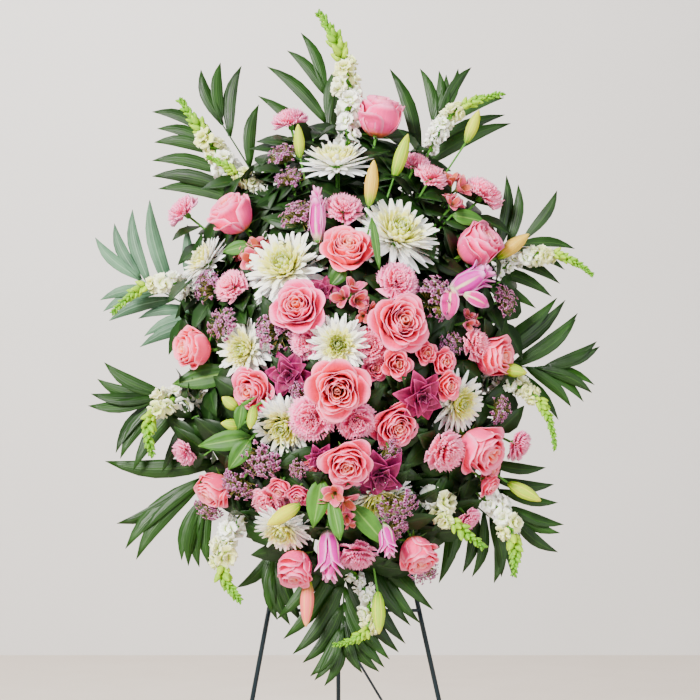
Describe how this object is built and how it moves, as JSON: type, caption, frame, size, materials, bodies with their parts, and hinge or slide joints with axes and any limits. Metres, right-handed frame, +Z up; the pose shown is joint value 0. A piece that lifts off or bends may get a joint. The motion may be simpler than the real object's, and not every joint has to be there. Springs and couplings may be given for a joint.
{
  "type": "standing funeral spray",
  "caption": "Tall oval spray of pink and white flowers with palm fronds, set in a foam block on a folding three-legged wire easel.",
  "frame": {"origin": "on the floor, in the middle of the outline seen from above", "axes": "+Z up, -Y towards the side that the flowers face, +X to the right of someone who looks at the flowers"},
  "size_m": [0.7586, 0.6432, 1.5838],
  "materials": {
    "rose_petal": "matte",
    "mum_petal": "matte",
    "carnation_petal": "matte",
    "spray_rose_petal": "matte",
    "lily_pink": "matte",
    "lily_magenta": "matte",
    "alstroemeria_petal": "matte",
    "waxflower_petal": "matte",
    "bud_green": "satin",
    "snapdragon_cream": "matte",
    "leaf_green": "satin",
    "palm_green": "satin",
    "palm_pale": "satin",
    "foam": "matte",
    "tray_plastic": "satin",
    "easel_paint": "satin"
  },
  "bodies": {
    "spray_and_front_frame": {"roses_top": "rose_petal", "roses_upper_left": "rose_petal", "roses_right": "rose_petal", "roses_lower_right": "rose_petal", "roses_centre": "rose_petal", "roses_lower_left": "rose_petal", "mums_top": "mum_petal", "mums_left": "mum_petal", "mums_right": "mum_petal", "mums_bottom": "mum_petal", "carnations_top": "carnation_petal", "carnations_left": "carnation_petal", "carnations_centre": "carnation_petal", "carnations_right": "carnation_petal", "carnations_lower": "carnation_petal", "spray_roses_right": "spray_rose_petal", "spray_roses_lower_left": "spray_rose_petal", "spray_roses_lower_right": "spray_rose_petal", "lilies_pink_upper": "lily_pink", "lilies_hanging": "lily_pink", "lilies_magenta_upper": "lily_magenta", "lilies_magenta_lower": "lily_magenta", "alstroemeria_upper": "alstroemeria_petal", "alstroemeria_left": "alstroemeria_petal", "alstroemeria_right": "alstroemeria_petal", "alstroemeria_lower": "alstroemeria_petal", "waxflower_upper_left": "waxflower_petal", "waxflower_left": "waxflower_petal", "waxflower_right": "waxflower_petal", "waxflower_lower_left": "waxflower_petal", "waxflower_lower_right": "waxflower_petal", "lily_buds_top": "bud_green", "lily_buds_right": "bud_green", "lily_buds_bottom": "bud_green", "alstroemeria_buds_left": "bud_green", "snapdragons_top": "snapdragon_cream", "snapdragons_upper_left": "snapdragon_cream", "snapdragons_left": "snapdragon_cream", "snapdragons_lower_left": "snapdragon_cream", "snapdragons_lower_right": "snapdragon_cream", "snapdragons_right": "snapdragon_cream", "leaves_upper": "leaf_green", "leaves_lower": "leaf_green", "leaves_left": "leaf_green", "palm_fronds_top": "palm_green", "palm_fronds_upper_left": "palm_green", "palm_fronds_left": "palm_pale", "palm_fronds_lower_left": "palm_green", "palm_fronds_bottom": "palm_green", "palm_fronds_lower_right": "palm_green", "palm_fronds_right": "palm_green", "foam_block": "foam", "foam_tray": "tray_plastic", "front_leg_left": "easel_paint", "front_leg_right": "easel_paint", "cross_wire_upper": "easel_paint", "cross_wire_lower": "easel_paint", "apex_bracket": "easel_paint"},
    "rear_leg": {"rear_leg": "easel_paint"},
    "brace": {"brace": "easel_paint"}
  },
  "joints": [
    {"name": "rear_leg_fold", "type": "hinge", "parent": "spray_and_front_frame", "child": "rear_leg", "pos_m": [-0.01, 0.00767, 1.20292], "axis": [-1, 0, 0], "range_deg": [0, 25]},
    {"name": "brace_drop", "type": "hinge", "parent": "spray_and_front_frame", "child": "brace", "pos_m": [0.18198, -0.17597, 0.375], "axis": [-1, 0, 0], "range_deg": [0, 80]}
  ],
  "couplings": [
    {"joint": "brace_drop", "follows": "rear_leg_fold", "ratio": 3.2}
  ]
}
